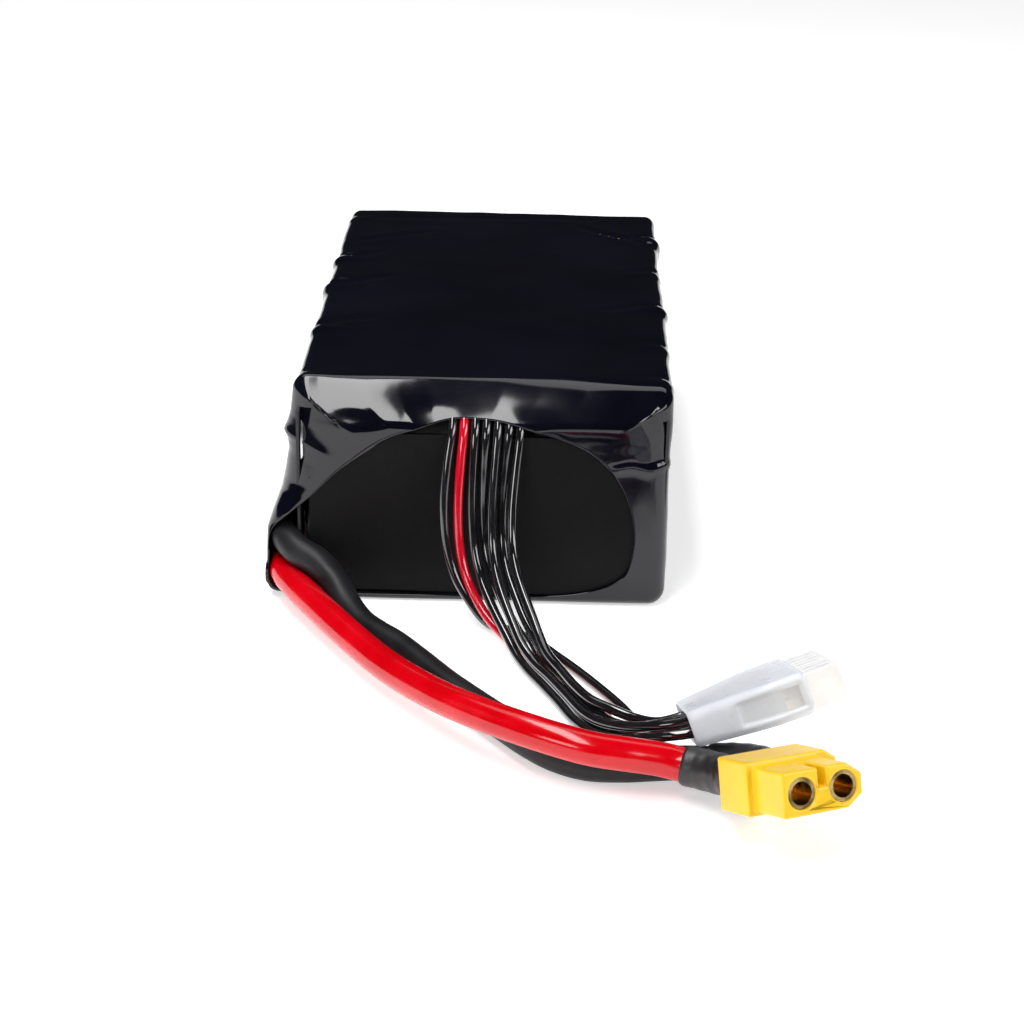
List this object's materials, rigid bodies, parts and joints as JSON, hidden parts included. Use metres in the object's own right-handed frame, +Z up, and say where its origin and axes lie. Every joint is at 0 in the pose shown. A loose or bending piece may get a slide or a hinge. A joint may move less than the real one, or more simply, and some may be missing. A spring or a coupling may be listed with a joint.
{
  "type": "battery pack",
  "caption": "Brick-shaped rechargeable battery pack in black shrink film, with two power leads on a two-pole connector and a balance plug on thin wires.",
  "frame": {"origin": "middle of the flat base of the wrapped pack, on the surface that it lies on", "axes": "+Z up, +Y along the pack's length away from the leads, +X to the right when the end with the leads is seen from outside"},
  "size_m": [0.0989, 0.2044, 0.041],
  "materials": {
    "wrap_film": "glossy black shrink film",
    "black_board": "matte black board",
    "green_board": "glass-fibre board",
    "fish_paper": "dark insulating paper",
    "amber_tape": "amber film tape",
    "cell_steel": "drawn nickel-plated steel",
    "cell_sleeve": "thin dark shrink sleeve",
    "nickel": "bare nickel strip",
    "white_ring": "insulating ring",
    "wire_black": "soft silicone wire",
    "wire_red": "soft silicone wire",
    "lead_red": "glossy silicone insulation",
    "lead_black": "silicone insulation",
    "sleeve_black": "shrunk tubing",
    "solder": "solder",
    "connector_yellow": "moulded nylon",
    "gold": "gold plating",
    "plug_white": "milky nylon",
    "terminal": "tinned brass",
    "boot_clear": "frosted clear plastic"
  },
  "bodies": {
    "root": {"heat_shrink_wrap": "wrap_film", "front_end_board": "black_board", "rear_end_board": "black_board", "top_board": "green_board", "bottom_sheet": "fish_paper", "left_side_sheet": "fish_paper", "right_side_sheet": "fish_paper", "top_cover_tape": "amber_tape", "cell_1": "cell_steel", "cell_2": "cell_steel", "cell_3": "cell_steel", "cell_4": "cell_steel", "cell_5": "cell_steel", "cell_6": "cell_steel", "cell_7": "cell_steel", "cell_8": "cell_steel", "cell_9": "cell_steel", "cell_10": "cell_steel", "cell_11": "cell_steel", "cell_12": "cell_steel", "cell_sleeves": "cell_sleeve", "cell_caps": "nickel", "cell_insulator_rings": "white_ring", "nickel_strip_1": "nickel", "nickel_strip_2": "nickel", "nickel_strip_3": "nickel", "nickel_strip_4": "nickel", "nickel_strip_5": "nickel", "nickel_strip_6": "nickel", "nickel_strip_7": "nickel", "balance_inner_runs": "wire_black", "solder_joint_pos": "solder", "solder_joint_neg": "solder", "power_lead_pos": "lead_red", "power_lead_neg": "lead_black", "power_sleeve_pos": "sleeve_black", "power_sleeve_neg": "sleeve_black", "connector_housing": "connector_yellow", "contact_pos": "gold", "contact_neg": "gold", "balance_wire_1": "wire_black", "balance_wire_2": "wire_black", "balance_wire_3": "wire_black", "balance_wire_4": "wire_black", "balance_wire_5": "wire_red", "balance_wire_6": "wire_black", "balance_wire_7": "wire_black", "balance_plug_housing": "plug_white", "crimp_terminals": "terminal", "plug_boot": "boot_clear"}
  },
  "joints": []
}
